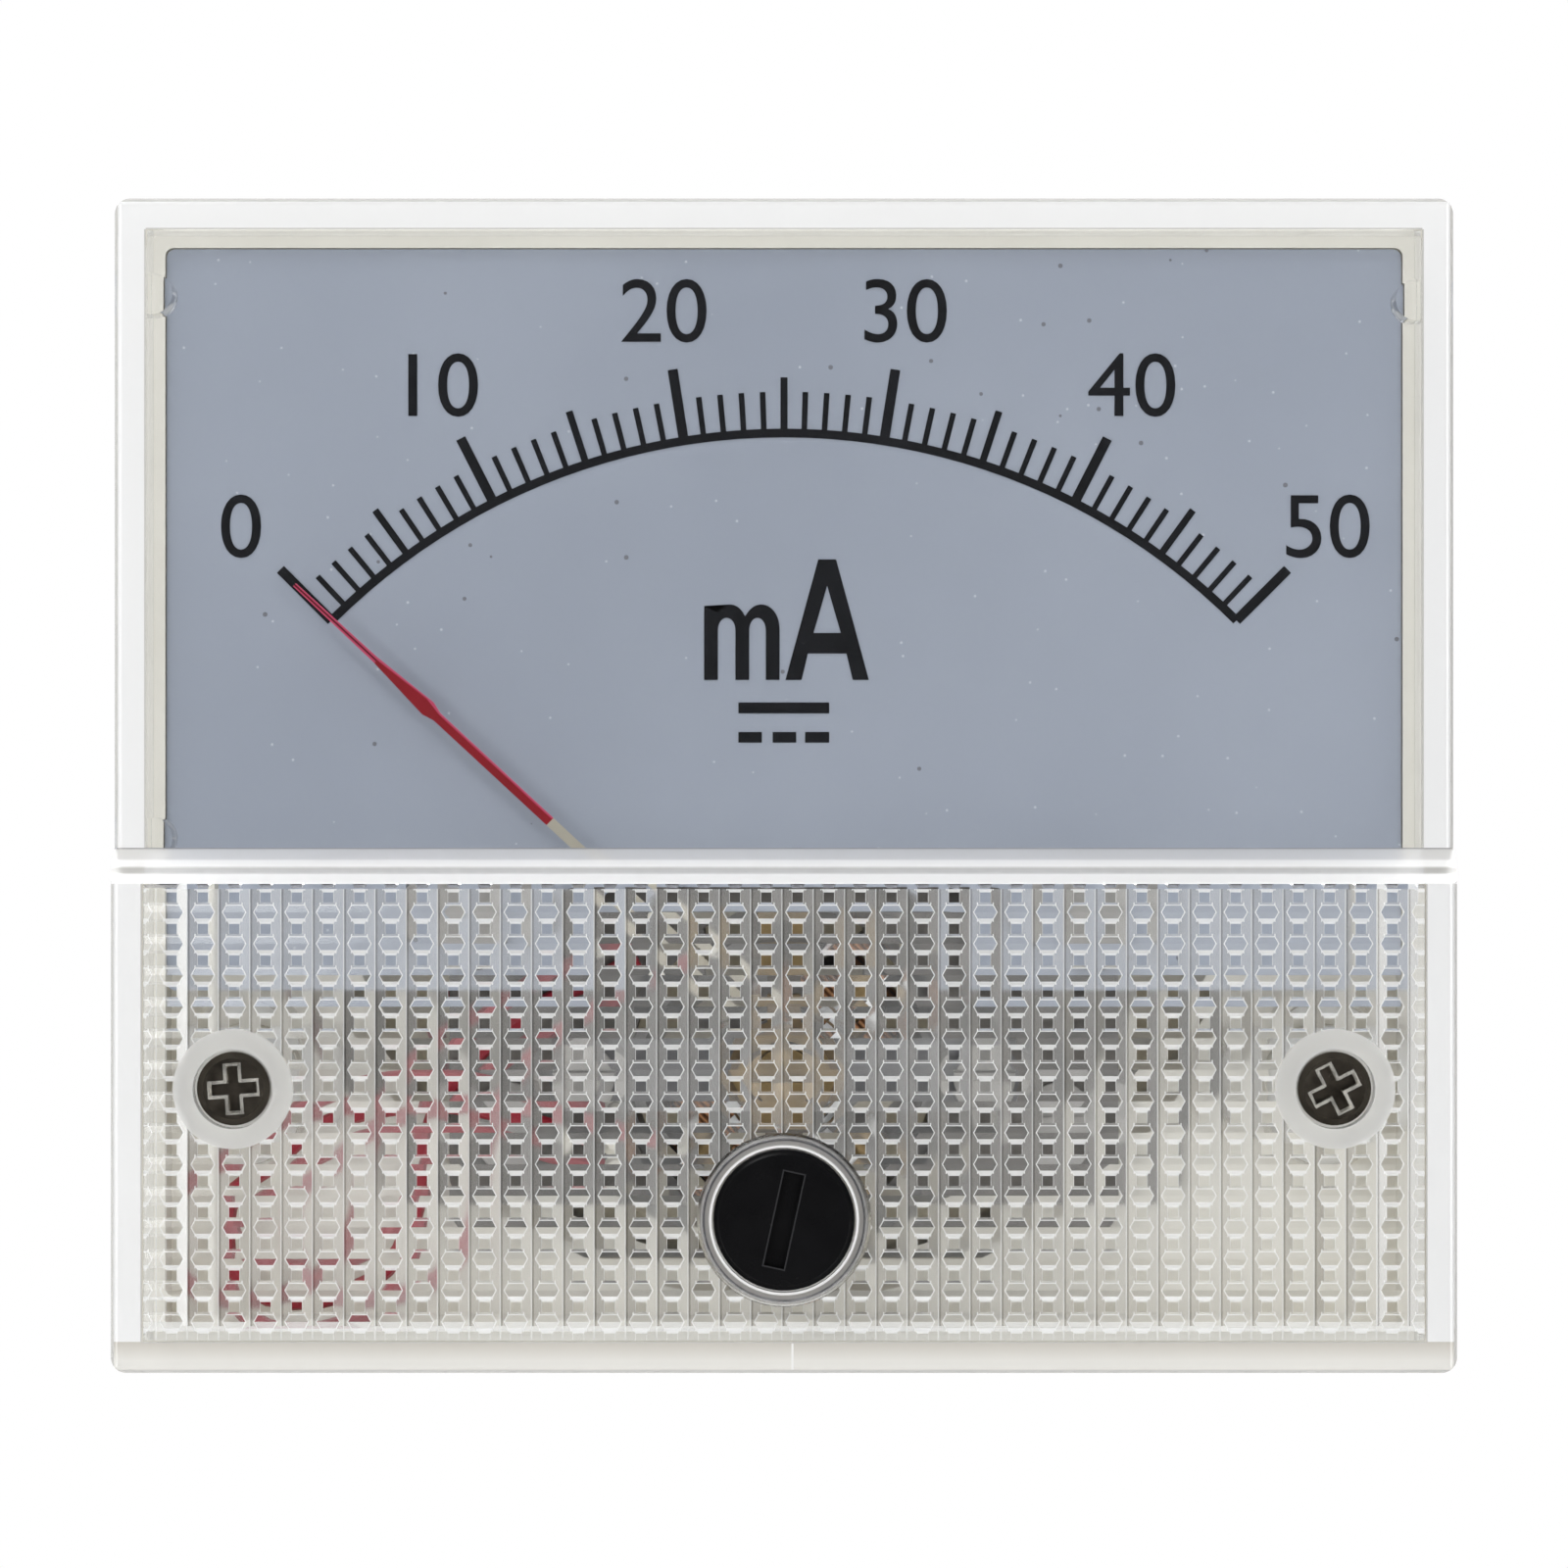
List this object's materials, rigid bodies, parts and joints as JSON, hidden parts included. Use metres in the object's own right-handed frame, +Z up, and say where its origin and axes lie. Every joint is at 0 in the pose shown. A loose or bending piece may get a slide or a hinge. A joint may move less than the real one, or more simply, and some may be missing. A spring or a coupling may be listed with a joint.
{
  "type": "analog panel meter",
  "caption": "Moving-coil panel meter with a clear stepped front, a round barrel behind the panel, screw studs, rear terminals and a zero adjuster.",
  "frame": {"origin": "on the barrel's axis, in the plane of the panel that the flange's back rests on", "axes": "+X to the right seen from the front, +Y back through the panel along the barrel, +Z up"},
  "size_m": [0.064, 0.0575, 0.056],
  "materials": {
    "clear_cover": "clear, polished outside, moulded grid inside",
    "cream_base": "fine satin moulding",
    "dial_paint": "satin grey-blue paint",
    "print_black": "printed ink",
    "pointer_red": "red lacquer",
    "bright_steel": "nickel plated",
    "dark_nickel": "dark nickel plated",
    "iron_grey": "soft iron, dull",
    "plate_grey": "grey passivated sheet",
    "magnet_dark": "cast and ground",
    "brass": "turned",
    "bronze_strip": "phosphor bronze strip",
    "copper_winding": "enamelled copper wire",
    "bright_aluminium": "bare",
    "black_bridge": "black finish",
    "jewel_red": "polished",
    "black_plastic": "satin black moulding",
    "red_pvc": "smooth sleeve",
    "black_pvc": "smooth sleeve",
    "tinned": "tinned",
    "white_bush": "moulded",
    "resistor_green": "glossy coating"
  },
  "bodies": {
    "case": {"front_cover": "clear_cover", "base_housing": "cream_base", "dial_plate": "dial_paint", "scale_print": "print_black", "dial_screws": "bright_steel", "dial_pillars": "brass", "movement_frame": "plate_grey", "frame_screws": "bright_steel", "left_pole": "iron_grey", "right_pole": "iron_grey", "pole_screws": "bright_steel", "magnet": "magnet_dark", "core": "iron_grey", "core_bracket": "brass", "front_bridge": "black_bridge", "bridge_screws": "bright_steel", "front_jewel_screw": "brass", "front_jewel": "jewel_red", "front_lock_nut": "brass", "rear_bridge": "black_bridge", "rear_bridge_screws": "bright_steel", "rear_jewel_screw": "brass", "rear_jewel": "jewel_red", "rear_lock_nut": "brass", "rear_hairspring": "bronze_strip", "cover_screws": "dark_nickel", "thread_inserts": "brass", "spring_tag": "tinned", "feedthrough_pin": "tinned", "feedthrough_bush": "white_bush", "red_wire": "red_pvc", "shunt_resistor": "resistor_green", "positive_lead": "red_pvc", "negative_lead": "black_pvc", "inner_lugs": "tinned", "terminal_studs": "brass", "terminal_washers": "bright_steel", "terminal_nuts": "bright_steel"},
    "zero_lever": {"zero_lever": "bronze_strip", "front_hairspring": "bronze_strip"},
    "pointer": {"pointer": "pointer_red", "balance_cross": "bright_aluminium", "balance_weights": "brass", "front_staff": "bright_steel", "rear_staff": "bright_steel", "coil_former": "bright_aluminium", "coil_winding": "copper_winding"},
    "zero_adjuster": {"zero_adjuster": "black_plastic", "adjuster_clip": "bright_steel"}
  },
  "joints": [
    {"name": "zero_adjuster_turn", "type": "hinge", "parent": "case", "child": "zero_adjuster", "pos_m": [0, -0.0145, -0.0207], "axis": [0, 1, 0], "range_deg": [-90, 90]},
    {"name": "zero_lever_swing", "type": "hinge", "parent": "case", "child": "zero_lever", "pos_m": [0, -0.0106, -0.014], "axis": [0, 1, 0], "range_deg": [-8.6, 8.6]},
    {"name": "pointer_swing", "type": "hinge", "parent": "zero_lever", "child": "pointer", "pos_m": [0, -0.0077, -0.014], "axis": [0, 1, 0], "range_deg": [-2, 92], "stiffness_Nm_per_rad": 0.00002, "deforming": ["front_hairspring", "rear_hairspring"]}
  ],
  "couplings": [
    {"joint": "zero_lever_swing", "follows": "zero_adjuster_turn", "ratio": 0.094}
  ]
}
